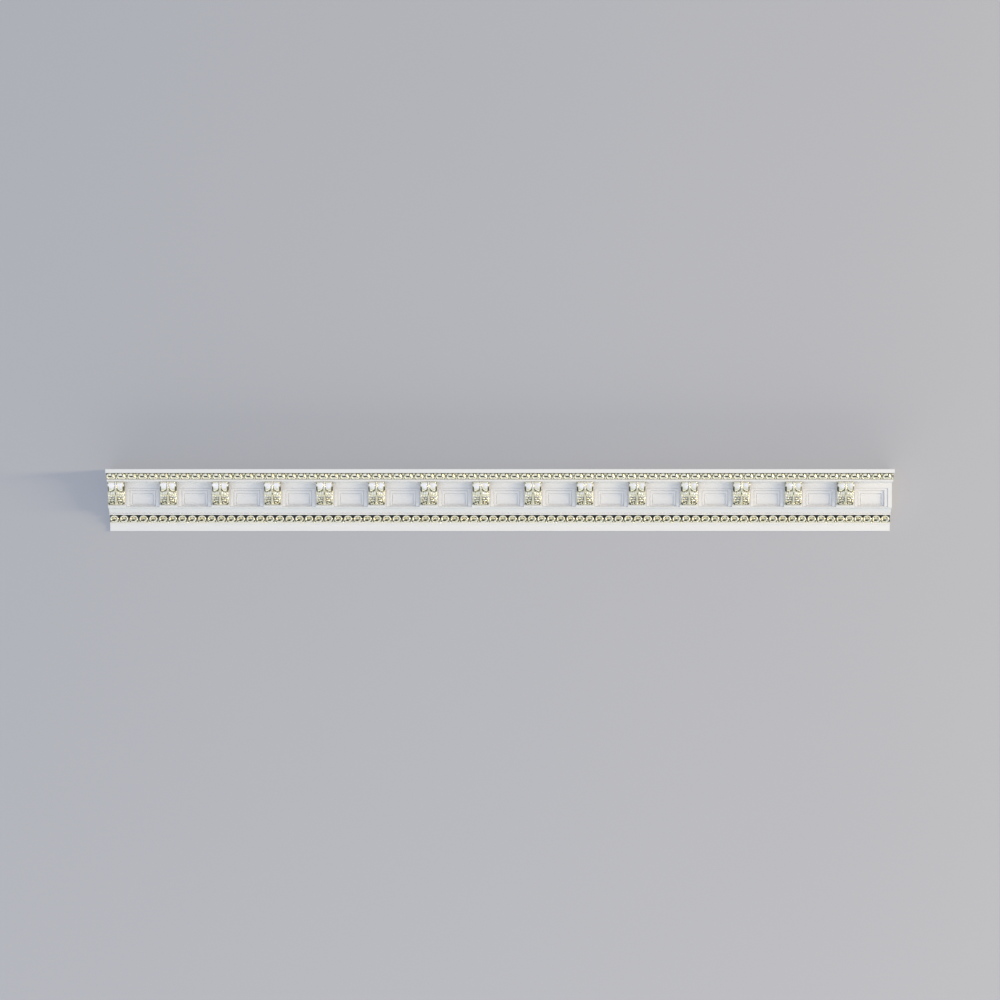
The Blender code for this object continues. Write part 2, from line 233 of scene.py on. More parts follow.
def panel_block(centre):
    """A stepped block, its widest part in front of the frieze and its smallest at the floor."""
    bm = bmesh.new()
    width, foot, head = PANEL_STEPS[0][:3]
    front = FRIEZE_DEPTH + BLOCK_PROUD
    box(bm, (centre - width, FRIEZE_DEPTH, foot), (centre + width, front, head))
    floor = max(bm.faces, key=lambda face: face.calc_center_median().y)
    for number, (width, foot, head, sinking, slope) in enumerate(PANEL_STEPS):
        if number:
            bmesh.ops.inset_region(
                bm, faces=[floor], thickness=FIRST_INSET / 1000, use_even_offset=True
            )
        middle = spot(centre, 0.0, (foot + head) / 2)
        half_height = (head - foot) / 2
        for vert in floor.verts:
            side = 1 if vert.co.x > middle.x else -1
            rise = 1 if vert.co.z > middle.z else -1
            vert.co.x = middle.x + side * width / 1000
            vert.co.z = middle.z + rise * half_height / 1000
        floor = bmesh.ops.extrude_discrete_faces(bm, faces=[floor])["faces"][0]
        bmesh.ops.translate(bm, verts=floor.verts[:], vec=(0, (sinking + QUIRK_DEPTH) / 1000, 0))
        bmesh.ops.scale(
            bm, verts=floor.verts[:], vec=(1 - slope / width, 1, 1 - slope / half_height),
            space=Matrix.Translation(-floor.calc_center_median()),
        )
        bmesh.ops.inset_region(bm, faces=[floor], thickness=QUIRK / 1000, use_even_offset=True)
        floor = bmesh.ops.extrude_discrete_faces(bm, faces=[floor])["faces"][0]
        bmesh.ops.translate(bm, verts=floor.verts[:], vec=(0, -QUIRK_DEPTH / 1000, 0))
    bmesh.ops.recalc_face_normals(bm, faces=bm.faces[:])
    soften(bm, [edge for edge in bm.edges if edge.calc_face_angle(0.0) > SHARP_TURN], 0.2)
    return bm


LEDGE_HALF = 28.0
LEDGE_DEPTHS = (64.8, 74.8)
LEDGE_LEVELS = (76.5, 80.3)


def ledge_block(centre):
    """The small ledge under a bracket, its back buried in the frieze and its front softened."""
    bm = bmesh.new()
    left = max(centre - LEDGE_HALF, -HALF_LENGTH)
    (back_depth, front_depth), (foot, head) = LEDGE_DEPTHS, LEDGE_LEVELS
    box(bm, (left, back_depth, foot), (centre + LEDGE_HALF, front_depth, head))
    front = [edge for edge in bm.edges if all(-vert.co.y > 0.07 for vert in edge.verts)]
    soften(bm, front, 0.9, 3)
    return bm


def gathered(name, blocks):
    """One object from many small bmeshes."""
    bm = bmesh.new()
    for block in blocks:
        part = bpy.data.meshes.new("part")
        block.to_mesh(part)
        block.free()
        bm.from_mesh(part)
        bpy.data.meshes.remove(part)
    mesh = bpy.data.meshes.new(name)
    bm.to_mesh(mesh)
    bm.free()
    made = bpy.data.objects.new(name, mesh)
    bpy.context.scene.collection.objects.link(made)
    return made


panels = gathered("panel_blocks", [panel_block(bracket_x(n) + MODULE / 2) for n in range(BRACKETS)])
ledges = gathered("ledge_blocks", [ledge_block(bracket_x(n)) for n in range(BRACKETS)])
print("panel faces", len(panels.data.polygons), "ledge faces", len(ledges.data.polygons))

# %% [markdown]
# ## Cutting the run
# The modifiers are read once through the dependency graph and kept as a plain mesh, so nothing
# live is left on the piece. A Weighted Normal step makes the big flat faces decide the shading
# and leaves the narrow bevels to round it off, which keeps long flats from looking swollen.

# %% Finished white run
body = bpy.data.objects.new("white_body", run_mesh)
bpy.context.scene.collection.objects.link(body)
for other, operation in ((panels, "DIFFERENCE"), (ledges, "UNION")):
    step = body.modifiers.new(other.name, "BOOLEAN")
    step.operation = operation
    step.solver = "EXACT"
    step.object = other
bpy.context.view_layer.update()


def settle(obj):
    """Replaces the object's mesh by the one that its modifiers give, and clears them."""
    graph = bpy.context.evaluated_depsgraph_get()
    mesh = bpy.data.meshes.new_from_object(obj.evaluated_get(graph))
    obj.modifiers.clear()
    obj.data = mesh


settle(body)
for helper in (panels, ledges):
    bpy.data.objects.remove(helper)
for polygon in body.data.polygons:
    polygon.use_smooth = True
body.data.set_sharp_from_angle(angle=math.radians(50))
weights = body.modifiers.new("face_weights", "WEIGHTED_NORMAL")
weights.keep_sharp = True
bpy.context.view_layer.update()
settle(body)
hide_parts("cornice_body")
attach(body, "root")
print("white body has", len(body.data.polygons), "faces")

# %% [markdown]
# ## Carving with one tool
# Every carved leaf here is the same kind of thing: a patch whose front swells and whose back is
# buried in the block behind it. The tool starts from a flat grid, extrudes it so that it has a
# front and a back, and then lays both over shapes given by a function of two shares: across the
# leaf, from -1 to 1, and down it, from 0 to 1. Where a leaf ends in a point, the grid's last row
# falls on one place and its doubles are merged. It also stores how much painted shade, in the
# dark glaze colour, goes at the leaf's root.

# %% The carving tool
ROOT_SHARE = 0.45  # how far down a leaf the painted shade at its root reaches
FULL_SHADE_DEPTH = 1.6  # the depth in millimetres at which a hollow gets full painted shade


def carve(bm, front, back, across, down, root_shade=0.0, flat_back=False):
    """A closed patch: front(u, s) and back(u, s) give its two sides as vectors."""
    layer = bm.verts.layers.float.get("tone") or bm.verts.layers.float.new("tone")
    flat = bmesh.ops.create_grid(bm, x_segments=across, y_segments=down, size=1.0)["verts"]
    corners = set(flat)
    faces = [face for face in bm.faces if face.verts[0] in corners]
    raised = bmesh.ops.extrude_face_region(bm, geom=faces)["geom"]
    raised = [item for item in raised if isinstance(item, bmesh.types.BMVert)]
    for verts, shape in ((flat, back), (raised, front)):
        for vert in verts:
            u, s = vert.co.x, (vert.co.y + 1) / 2
            vert.co = shape(u, s)
            # painted shade at the leaf's root, fading towards its tip
            vert[layer] = root_shade * max(1 - s / ROOT_SHARE, 0.0)
    if flat_back:
        bmesh.ops.dissolve_faces(bm, faces=faces, use_verts=True)


def sink_shaded_hollows(bm, hollows, inward):
    """Presses soft hollows into the front and paints shade in them.

    Each hollow is its place across and its level, its half sizes and its depth, in millimetres.
    """
    tone = bm.verts.layers.float["tone"]
    bm.normal_update()
    for vert in bm.verts:
        if vert.normal.dot(inward) > 0.3:
            continue
        x, level = vert.co.x * 1000, ORIGIN_LEVEL + vert.co.z * 1000
        sunk = 0.0
        for across, height, half_x, half_level, depth in hollows:
            share = math.exp(-((x - across) / half_x) ** 4 - ((level - height) / half_level) ** 4)
            sunk = max(sunk, share * depth)
        vert.co += inward * sunk / 1000
        # painted shade in the hollow, darker as the hollow gets deeper
        vert[tone] = max(vert[tone], min(sunk / FULL_SHADE_DEPTH, 1.0))


def dome(u):
    """A flat crown with rolled edges, 1 in the middle and 0 at u = -1 and 1."""
    return math.sqrt(max(1 - u ** 4, 0.0))


def shells(bm):
    """The separate shells of a bmesh, each as a list of its faces."""
    found, seen = [], set()
    for first in bm.faces:
        if first in seen:
            continue
        seen.add(first)
        shell = [first]
        for face in shell:
            for near in [other for vert in face.verts for other in vert.link_faces]:
                if near not in seen:
                    seen.add(near)
                    shell.append(near)
        found.append(shell)
    return found


def closed(bm):
    """Merges the doubled places at points and seams, and turns every shell outwards."""
    bmesh.ops.remove_doubles(bm, verts=bm.verts[:], dist=2e-6)
    bmesh.ops.dissolve_degenerate(bm, edges=bm.edges[:], dist=1e-7)
    bmesh.ops.recalc_face_normals(bm, faces=bm.faces[:])
    bm.normal_update()
    for shell in shells(bm):
        # a shell that is inside out has a negative volume
        if sum(f.calc_area() * f.normal.dot(f.calc_center_median()) for f in shell) < 0:
            bmesh.ops.reverse_faces(bm, faces=shell)


print("carving tool ready")

# %% [markdown]
# ## How deep a crevice is
# The gilding is painted darker where shade falls: crevices get a dark glaze colour that stands
# in for their shade. To know where that is, each vertex sends a few fixed rays into the open and
# counts how many meet something near. That share, plus the shade painted at roots and in hollows,
# is stored on the mesh as an attribute named shade, and the gilding reads it. Nothing about it is
# random, so each run gives the same shades.

# %% Crevice shade
RAY_LIFT = 0.0002
RAY_RINGS = ((18, 4), (42, 7), (66, 9))  # tilt in degrees off the normal, and how many rays
RING_TWIST = 0.37
RAYS = []
for ring, (tilt, count) in enumerate(RAY_RINGS):
    for step in range(count):
        turn = 2 * math.pi * (step + RING_TWIST * ring) / count
        flat = math.sin(math.radians(tilt))
        up = math.cos(math.radians(tilt))
        RAYS.append((Vector((flat * math.cos(turn), flat * math.sin(turn), up)), up))
RAY_TOTAL = sum(weight for _, weight in RAYS)


def shade_crevices(bm, trees, reach):
    """Stores 0 on open places and up to 1 in deep crevices, in the vertex layer shade."""
    layer = bm.verts.layers.float.new("shade")
    tone = bm.verts.layers.float["tone"]
    bm.normal_update()
    for vert in bm.verts:
        turn = vert.normal.to_track_quat("Z", "Y")
        start = vert.co + vert.normal * RAY_LIFT
        met = 0.0
        for ray, weight in RAYS:
            aim = turn @ ray
            nearest = reach
            for tree in trees:
                distance = tree.ray_cast(start, aim, reach)[3]
                if distance is not None:
                    nearest = min(nearest, distance)
            met += weight * (1 - nearest / reach)
        # painted shade: the crevice share plus the shade painted at roots and in hollows
        vert[layer] = min(1.0, met / RAY_TOTAL + vert[tone])


body_bm = bmesh.new()
body_bm.from_mesh(body.data)
body_tree = BVHTree.FromBMesh(body_bm)
body_bm.free()
print(len(RAYS), "rays to a vertex")

# %% [markdown]
# ## The bracket's core
# A leaf bracket, or modillion, is a short console. Its side is an S: thick under the soffit,
# hollow below, and thin at the foot. The leaves lie on it. The core is that S drawn across the
# bracket's width, with cuts every few millimetres so that its crevices can be shaded.

# %% Core of a bracket
HEAD_LEVEL = FILLET_LEVELS[0]
BRACKET_DROP = 71.7
CORE_HALF = 25.2
CORE_STEPS = 26
CUTS = 13
CUT_SPACING = 3.6
GROUND_DROP = 14.0  # below this the ground between the leaves gets a little painted shade
GROUND_PAINTED_SHADE = 0.12
CORE_STANDS = (24.0, 24.4, 24.0, 18.0, 12.5, 10.0, 9.4, 9.4, 9.4, 9.4, 8.6, 6.5, 3.4)


def on_bracket(x, drop, stand):
    """A place on a bracket: across it, down from its head, and out from the frieze."""
    return spot(x, FRIEZE_DEPTH + stand, HEAD_LEVEL - drop)


def core_stand(drop):
    return along(CORE_STANDS, min(max(drop / BRACKET_DROP, 0.0), 1.0))


def core(bm):
    tone = bm.verts.layers.float.new("tone")
    drops = [BRACKET_DROP * n / CORE_STEPS for n in range(1, CORE_STEPS)]
    side = [(0.3, 7.9), (3.6, 5.2), (24.0, 0.6)]
    side += [(core_stand(drop), drop) for drop in drops]
    side += [(3.4, BRACKET_DROP), (0.3, BRACKET_DROP)]
    corners = [bm.verts.new(on_bracket(-CORE_HALF, drop, stand)) for stand, drop in side]
    end = bm.faces.new(corners)
    made = bmesh.ops.extrude_face_region(bm, geom=[end])["geom"]
    far = [item for item in made if isinstance(item, bmesh.types.BMVert)]
    bmesh.ops.translate(bm, verts=far, vec=(2 * CORE_HALF / 1000, 0, 0))
    soften(bm, [edge for edge in bm.edges if edge.calc_face_angle(0.0) > 1.2], 0.7)
    for n in range(1, CUTS + 1):
        bmesh.ops.bisect_plane(
            bm, geom=bm.verts[:] + bm.edges[:] + bm.faces[:],
            plane_co=((n * CUT_SPACING - CORE_HALF) / 1000, 0, 0), plane_no=(1, 0, 0),
        )
    # painted shade: the ground between the leaves below the head is a little darker
    for vert in bm.verts:
        drop = HEAD_LEVEL - ORIGIN_LEVEL - vert.co.z * 1000
        if drop > GROUND_DROP and abs(vert.co.x) < (CORE_HALF - 0.3) / 1000:
            vert[tone] = GROUND_PAINTED_SHADE


core_bm = bmesh.new()
core(core_bm)
print("core faces", len(core_bm.faces))

# %% [markdown]
# ## Leaves of the bracket
# The leaf hangs from the soffit: two broad smooth petals at the head, then three tiers of
# fingers, each tier springing from under the one above, and a small curled tip at the foot. A
# finger is given by where it starts, where it ends, how wide it is, how far it bows aside and how
# far it stands off the frieze at its root, its middle and its tip. Only the right half is carved.
# The left half is its mirror image. Narrow gaps are left between the fingers, because the dark
# lines there are what makes the carving read from across a room.

# %% Fingers and petals
FINGERS = (
    # root across and drop, tip across and drop, half width, bow, stands at root, middle, tip
    ((4.6, 19.5), (6.9, 46.4), 3.2, 0.3, (19.0, 23.0, 22.0)),
    ((8.2, 21.5), (14.9, 46.8), 3.9, 0.4, (19.0, 22.4, 21.2)),
    ((13.0, 27.0), (22.8, 45.6), 4.3, 1.2, (17.0, 20.0, 17.6)),
    ((19.6, 29.5), (25.4, 38.6), 2.6, 0.4, (14.5, 16.0, 13.5)),
    ((2.4, 51.0), (12.4, 52.4), 2.1, 0.2, (15.5, 17.8, 16.8)),
    ((2.0, 57.6), (17.4, 57.8), 2.4, 0.2, (15.5, 17.8, 16.4)),
    ((12.0, 51.6), (25.4, 53.2), 2.9, 0.5, (13.5, 15.8, 14.0)),
    ((16.8, 56.8), (25.4, 59.6), 2.4, 0.3, (12.5, 14.2, 12.4)),
    ((6.4, 62.4), (12.8, 64.6), 1.7, 0.3, (11.5, 14.0, 12.8)),
    ((5.2, 66.0), (8.4, 71.0), 1.7, 0.2, (10.5, 13.0, 12.0)),
    ((12.2, 65.2), (18.2, 69.8), 2.3, 0.3, (10.0, 12.6, 11.4)),
    ((16.4, 61.8), (25.0, 63.2), 1.7, 0.3, (10.0, 12.0, 10.2)),
    ((19.8, 68.6), (25.0, 70.6), 1.1, 0.2, (6.5, 8.0, 6.4)),
)
FINGER_WIDTHS = (0.55, 0.72, 0.88, 1.0, 0.98, 0.80, 0.0)
FINGER_SWELL = 0.42
VEIN_DEPTH = 0.16
VEIN_WIDTH = 0.22
OUTER_EDGE = 25.9


def fingertip_share(s):
    """How far along its line a finger has come, with the steps closer towards the tip."""
    return 1 - (1 - s) ** 1.7


def finger(bm, root, tip, half, bow, stands):
    """One finger of the leaf, with a shallow vein and a rounded tip."""
    line = Vector(tip) - Vector(root)
    side = Vector((line.y, -line.x)).normalized()

    def surface(u, s, stand):
        reach = fingertip_share(s)
        width = half * max(along(FINGER_WIDTHS, s), 0.0)
        bend = side * bow * math.sin(math.pi * reach)
        place = Vector(root) + line * reach + bend + side * width * u
        return on_bracket(min(place.x, OUTER_EDGE), min(place.y, BRACKET_DROP - 0.3), stand)

    def front(u, s):
        reach = fingertip_share(s)
        swell = FINGER_SWELL * half * dome(u)
        vein = VEIN_DEPTH * half * math.exp(-((u / VEIN_WIDTH) ** 2)) * (1 - s)
        return surface(u, s, along(stands, reach) + swell - vein - 1.2 - 2.0 * reach ** 9)

    def back(u, s):
        drop = root[1] + line.y * fingertip_share(s)
        return surface(u, s, core_stand(drop) - 1.5)

    carve(bm, front, back, across=8, down=12, root_shade=0.45)


PETAL_INNER = (
    # across and drop, from the head to the tip
    (2.7, 0.4), (2.7, 6.0), (2.8, 12.0), (3.2, 18.0), (5.2, 23.4), (9.8, 27.4), (16.2, 30.6),
)
PETAL_OUTER = (
    (25.4, 0.4), (22.2, 5.0), (25.6, 10.5), (22.4, 15.6), (21.0, 21.5), (20.8, 26.5), (18.4, 30.8),
)
PETAL_STANDS = (29.0, 30.2, 30.8, 30.7, 30.2, 29.2, 27.6)
PETAL_TOP = 0.4
PETAL_LENGTH = 30.6
RIM = 0.2


def petal(bm):
    """One of the two broad petals at the head, nearly flat across and rounded at its rim."""

    def surface(u, s, stand):
        inner = Vector([along([p[i] for p in PETAL_INNER], s) for i in (0, 1)])
        outer = Vector([along([p[i] for p in PETAL_OUTER], s) for i in (0, 1)])
        place = inner.lerp(outer, (u + 1) / 2)
        return on_bracket(place.x, place.y, stand)

    def front(u, s):
        rim = max(abs(u) - (1 - RIM), 0.0) / RIM
        hollow = 0.4 * math.cos(math.pi * u / 2)
        return surface(u, s, along(PETAL_STANDS, s) - hollow - 1.8 * rim * rim - 1.5 * s ** 14)

    def back(u, s):
        return surface(u, s, core_stand(PETAL_TOP + PETAL_LENGTH * s) - 2.0)

    carve(bm, front, back, across=20, down=24)


BRACKET_HOLLOWS = (
    # across, drop, half sizes across and down, depth
    (24.6, 4.6, 2.0, 2.2, 1.8), (23.6, 22.6, 2.8, 7.0, 2.6), (9.6, 26.8, 2.8, 2.2, 1.0),
    (16.0, 30.8, 2.2, 1.4, 0.8), (22.0, 30.8, 3.0, 1.2, 0.7), (0.0, 37.6, 1.1, 3.2, 1.6),
    (19.4, 39.6, 2.2, 1.2, 0.4), (25.0, 43.6, 1.6, 1.8, 0.6), (6.8, 47.4, 4.0, 1.6, 0.4),
    (12.0, 49.3, 5.0, 1.2, 0.6), (7.8, 55.4, 2.0, 1.2, 0.5), (19.4, 58.5, 2.2, 1.2, 0.5),
    (9.0, 61.3, 4.8, 1.2, 0.6), (16.4, 64.4, 2.6, 1.6, 1.3), (6.6, 64.6, 1.6, 1.3, 0.5),
    (24.8, 64.8, 1.8, 1.8, 0.8), (6.8, 66.9, 3.0, 1.8, 1.3), (12.2, 67.4, 2.2, 1.5, 0.5),
    (22.6, 66.6, 3.2, 2.2, 1.9),
)

half_bm = bmesh.new()
petal(half_bm)
for shape in FINGERS:
    finger(half_bm, *shape)
print("right half", len(half_bm.faces), "faces")

# %% [markdown]
# ## Midrib and curled tip
# Down the middle run two strands that part round a small eye and close again, and the leaf ends
# in a curl. The strands are carved with the same tool along a line that moves sideways. The curl
# is a small ball that narrows towards its top, as a drop does.

# %% Strands and curl
STRAND_ACROSS = (1.1, 1.1, 1.1, 1.3, 1.9, 2.6, 1.7, 1.3, 1.3, 1.2)
STRAND_HALF = (1.4, 1.4, 1.4, 1.6, 1.8, 1.8, 1.8, 1.7, 1.7, 1.6)
STRAND_SWELL = (0.3, 0.3, 0.5, 1.2, 1.2, 1.2)
STRAND_STANDS = (30.6, 31.6, 32.0, 31.6, 29.8, 27.4, 25.0, 23.2, 21.8, 20.6)
STRAND_TOP = 0.5
STRAND_LENGTH = 64.5
CURL_HALF = (3.5, 4.4, 4.6)  # across, out and down
CURL_DROP = 67.0
CURL_STAND = 17.6
CURL_LEAN = 1.4


def strand(bm):
    """One of the two strands of the midrib, from the head down to the curl."""

    def drop(s):
        return STRAND_TOP + STRAND_LENGTH * s

    def surface(u, s, stand):
        across = along(STRAND_ACROSS, s) + u * along(STRAND_HALF, s)
        return on_bracket(across, drop(s), stand)

    def front(u, s):
        swell = along(STRAND_SWELL, s)
        return surface(u, s, along(STRAND_STANDS, s) - swell + swell * dome(u))

    def back(u, s):
        return surface(u, s, core_stand(drop(s)) - 1.5)

    carve(bm, front, back, across=8, down=44)


def curl(bm):
    """The curled tip, a ball whose upper half narrows."""
    ball = bmesh.ops.create_uvsphere(bm, u_segments=20, v_segments=14, radius=1.0)["verts"]
    half_across, half_out, half_down = CURL_HALF
    for vert in ball:
        up = vert.co.z
        waist = 1.0 if up < 0 else 1.0 - 0.55 * up * up
        stand = CURL_STAND - half_out * vert.co.y - CURL_LEAN * up
        vert.co = on_bracket(half_across * vert.co.x * waist, CURL_DROP - half_down * up, stand)


INWARD = Vector((0, 1, 0))
BRACKET_REACH = 0.009


strand(half_bm)
bmesh.ops.mirror(
    half_bm, geom=half_bm.verts[:] + half_bm.edges[:] + half_bm.faces[:], axis="X", merge_dist=-1
)
curl(half_bm)
leaf_mesh = bpy.data.meshes.new("bracket_leaves")
half_bm.to_mesh(leaf_mesh)
half_bm.free()
core_bm.from_mesh(leaf_mesh)
bpy.data.meshes.remove(leaf_mesh)
closed(core_bm)
hollows = [
    (side * across, HEAD_LEVEL - drop, half_x, half_drop, depth)
    for across, drop, half_x, half_drop, depth in BRACKET_HOLLOWS
    for side in (-1, 1)
]
sink_shaded_hollows(core_bm, hollows, INWARD)
middle = bracket_x(BRACKETS // 2) / 1000
bmesh.ops.translate(core_bm, verts=core_bm.verts[:], vec=(middle, 0, 0))
shade_crevices(core_bm, (BVHTree.FromBMesh(core_bm), body_tree), BRACKET_REACH)
bmesh.ops.translate(core_bm, verts=core_bm.verts[:], vec=(-middle, 0, 0))
print("one bracket", len(core_bm.faces), "faces")

# %% [markdown]
# ## Fifteen brackets
# Each bracket is its own piece, as it is on the wall, where they are cast from one mould. The
# finished mesh is copied and moved inside the mesh, so that every object stays at the origin.

# %% Place the brackets


def piece(name, bm, slot, *nodes):
    """Makes a finished piece from a bmesh, hides the imported parts it replaces and hangs it on the
    root.
    """
    mesh = bpy.data.meshes.new(name)
    bm.to_mesh(mesh)
    mesh.shade_smooth()
    mesh.set_sharp_from_angle(angle=math.radians(60))
    made = bpy.data.objects.new(name, mesh)
    bpy.context.scene.collection.objects.link(made)
    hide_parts(*nodes)
    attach(made, "root")
    return made


brackets = []
for number in range(BRACKETS):
    copy = core_bm.copy()
    bmesh.ops.translate(copy, verts=copy.verts[:], vec=(bracket_x(number) / 1000, 0, 0))
    name = f"{number + 1:02d}"
    brackets.append(piece("bracket_" + name, copy, "gilt_bracket", "modillion_" + name))
    copy.free()
core_bm.free()
print(len(brackets), "brackets of", len(brackets[0].data.polygons), "faces")

# %% [markdown]
# ## Eggs in the groove
# The lower band is egg and dart: each egg is a raised ring round a small rolled leaf with a dark
# slit under it, and a slim dart stands between two. The ring is a section spun round its own
# axis and then flattened into an oval. The rolled leaf and the bud below it are carved, and the
# slit and the small pits beside them are hollows pressed in afterwards and painted with shade.

# %% One egg and its dart
EGG_LEVEL = 37.9
EGG_HALF = (12.9, 11.0)
EGG_SECTION = (
    (1.0, 12.8), (1.0, 18.6), (0.99, 20.8), (0.965, 22.0), (0.92, 22.7), (0.80, 22.9),
    (0.68, 22.7), (0.62, 22.0), (0.59, 20.8), (0.575, 19.0), (0.55, 17.6), (0.45, 17.0),
    (0.34, 16.9), (0.23, 16.9), (0.12, 16.9), (0.0, 16.9),
)
EGG_HOLLOWS = (
    # across, level, half sizes across and up, depth
    (-3.4, 33.0, 5.8, 1.9, 2.0), (0.0, 36.0, 6.2, 1.0, 1.1), (8.4, 32.8, 1.6, 1.5, 0.9),
    (6.0, 42.2, 1.8, 1.5, 0.7), (-6.0, 42.2, 1.8, 1.5, 0.6), (3.4, 29.6, 2.2, 1.3, 0.7),
)


def egg_ring(bm):
    bm.verts.layers.float.new("tone")
    verts = [bm.verts.new(spot(EGG_HALF[0] * r, depth, ORIGIN_LEVEL)) for r, depth in EGG_SECTION]
    edges = [bm.edges.new(pair) for pair in zip(verts, verts[1:])]
    bmesh.ops.spin(
        bm, geom=verts + edges, cent=(0, 0, 0), axis=(0, 1, 0), dvec=(0, 0, 0),
        angle=2 * math.pi, steps=36, use_merge=True,
    )
    bmesh.ops.remove_doubles(bm, verts=bm.verts[:], dist=1e-6)
    bmesh.ops.scale(bm, verts=bm.verts[:], vec=(1, 1, EGG_HALF[1] / EGG_HALF[0]))
    bmesh.ops.translate(bm, verts=bm.verts[:], vec=(0, 0, (EGG_LEVEL - ORIGIN_LEVEL) / 1000))
    bmesh.ops.holes_fill(bm, edges=[edge for edge in bm.edges if edge.is_boundary], sides=0)


def patch(bm, centre, top, bottom, widths, depths, swell, grid, back_depth, root_shade=0.0):
    """A carved leaf on an upright ground, from a level down to another."""

    def surface(u, s, depth):
        width = max(along(widths, s), 0.0)
        return spot(centre + width * u, depth, top + (bottom - top) * s)

    def front(u, s):
        return surface(u, s, along(depths, s) - swell + swell * dome(u))

    def back(u, s):
        return surface(u, s, back_depth)

    carve(bm, front, back, *grid, root_shade, flat_back=True)


def egg_leaf(bm):
    """The rolled leaf and the bud in the ring, each by its widths and its depths."""
    roll = ((4.4, 5.4, 5.6, 5.2, 4.8, 4.2), (18.4, 19.0, 20.2, 22.0, 23.4, 22.8))
    bud = ((0.0, 1.7, 2.1, 1.7, 0.0), (18.0, 20.8, 21.6, 20.8, 18.0))
    patch(bm, 0.0, 43.8, 37.2, *roll, swell=1.2, grid=(10, 10), back_depth=16.2)
    patch(bm, 5.0, 35.0, 30.8, *bud, swell=0.8, grid=(6, 6), back_depth=16.2)


def dart(bm):
    shape = ((1.3, 1.5, 1.6, 1.8, 2.0, 2.2, 2.3), (13.6, 13.8, 14.4, 15.2, 16.0, 16.6, 16.6))
    patch(bm, 0.0, 43.0, 26.4, *shape, swell=1.0, grid=(6, 10), back_depth=12.9, root_shade=0.8)


DART_HOLLOW = (0.0, 37.4, 3.0, 7.6, 0.9)

egg_bm = bmesh.new()
egg_ring(egg_bm)
egg_leaf(egg_bm)
closed(egg_bm)
sink_shaded_hollows(egg_bm, EGG_HOLLOWS, INWARD)
dart_bm = bmesh.new()
dart(dart_bm)
closed(dart_bm)
sink_shaded_hollows(dart_bm, [DART_HOLLOW], INWARD)
print("egg", len(egg_bm.faces), "faces, dart", len(dart_bm.faces), "faces")

# %% [markdown]
# ## The whole egg band
# Eggs and darts are repeated along the groove, on a thin backing plate with a slim bead at its
# foot. The real band is spaced in three stretches, a little wide on the left and a little close
# at the right end. The crevice shade is worked out once, on a middle egg between two neighbours,
# and copied with it.

# %% Repeat the eggs
EGG_PITCH = 29.67
EGG_SPACES = [29.95] * 30 + [EGG_PITCH] * 45 + [27.4] * 5
FIRST_EGG = 13.8  # from the left end
EGG_REACH = 0.006
PLATE_FRONT = 13.2
PLATE_PAINTED_SHADE = 1.1
BEAD_PAINTED_SHADE = 0.12
SAMPLE_HALF = 60  # half the length of the ground under the cells that are shaded


def joined(parts):
    """A bmesh of several meshes, each copied to a list of centres in millimetres."""
    bm = bmesh.new()
    bm.verts.layers.float.new("tone")
    for source, centres in parts:
        part = bpy.data.meshes.new("part")
        source.to_mesh(part)
        for centre in centres:
            done = len(bm.verts)
            bm.from_mesh(part)
            bm.verts.ensure_lookup_table()
            bmesh.ops.translate(bm, verts=bm.verts[done:], vec=(centre / 1000, 0, 0))
        bpy.data.meshes.remove(part)
    return bm


def egg_plate(left, right):
    """The backing plate and the slim bead at its foot."""
    bm = bmesh.new()
    bm.verts.layers.float.new("tone")
    box(bm, (left, GROOVE_DEPTH, GROOVE_FOOT), (right, PLATE_FRONT, LIP_LEVELS[0] - 0.2))
    box(bm, (left, 12.0, 26.1), (right, 16.2, 29.2))
    bead_front = [edge for edge in bm.edges if all(-vert.co.y > 0.015 for vert in edge.verts)]
    soften(bm, bead_front, 1.5, 4)
    closed(bm)
    return bm


def shaded(source, neighbours, ground, reach):
    """Shades a cell among its neighbours, each a bmesh and its centres, on its ground."""
    around = joined(neighbours + [(ground, [0.0])])
    shade_crevices(source, (BVHTree.FromBMesh(around),), reach)
    around.free()


def shade_cells(big, small, pitch, ground, reach):
    """Shades a big form between two of its neighbours, and the small form that stands between."""
    half = pitch / 2
    shaded(big, [(big, [-pitch, 0.0, pitch]), (small, [-half, half])], ground, reach)
    shaded(small, [(big, [-half, half]), (small, [0.0])], ground, reach)
    ground.free()


egg_centres = [-HALF_LENGTH + FIRST_EGG]
for space in EGG_SPACES:
    egg_centres.append(egg_centres[-1] + space)
dart_centres = [(a + b) / 2 for a, b in zip(egg_centres, egg_centres[1:])]
shade_cells(egg_bm, dart_bm, EGG_PITCH, egg_plate(-SAMPLE_HALF, SAMPLE_HALF), EGG_REACH)
plate = egg_plate(-HALF_LENGTH, HALF_LENGTH)
plate_shade = plate.verts.layers.float.new("shade")
# painted shade: the backing plate behind the eggs is painted fully dark, the bead a little
for vert in plate.verts:
    on_plate = -vert.co.y * 1000 < PLATE_FRONT + 0.3
    vert[plate_shade] = PLATE_PAINTED_SHADE if on_plate else BEAD_PAINTED_SHADE
band = joined([(egg_bm, egg_centres), (dart_bm, dart_centres), (plate, [0.0])])
egg_band = piece("egg_band", band, "gilt_egg", "egg_strip")
for done in (band, egg_bm, dart_bm, plate):
    done.free()
print(len(egg_centres), "eggs, the last at", round(egg_centres[-1], 1), "mm")
print("egg band", len(egg_band.data.polygons), "faces")

# %% [markdown]
# ## Leaves on the leaning bed
# The upper band is a row of broad leaves that lean forward with their bed. Each has a dished
# blade, a small rolled leaf over a dark slit in its middle and an ear on either side, and flat
# stems stand between the leaves. Places on it are given by level along the leaning bed and by
# how far they stand out square from it.

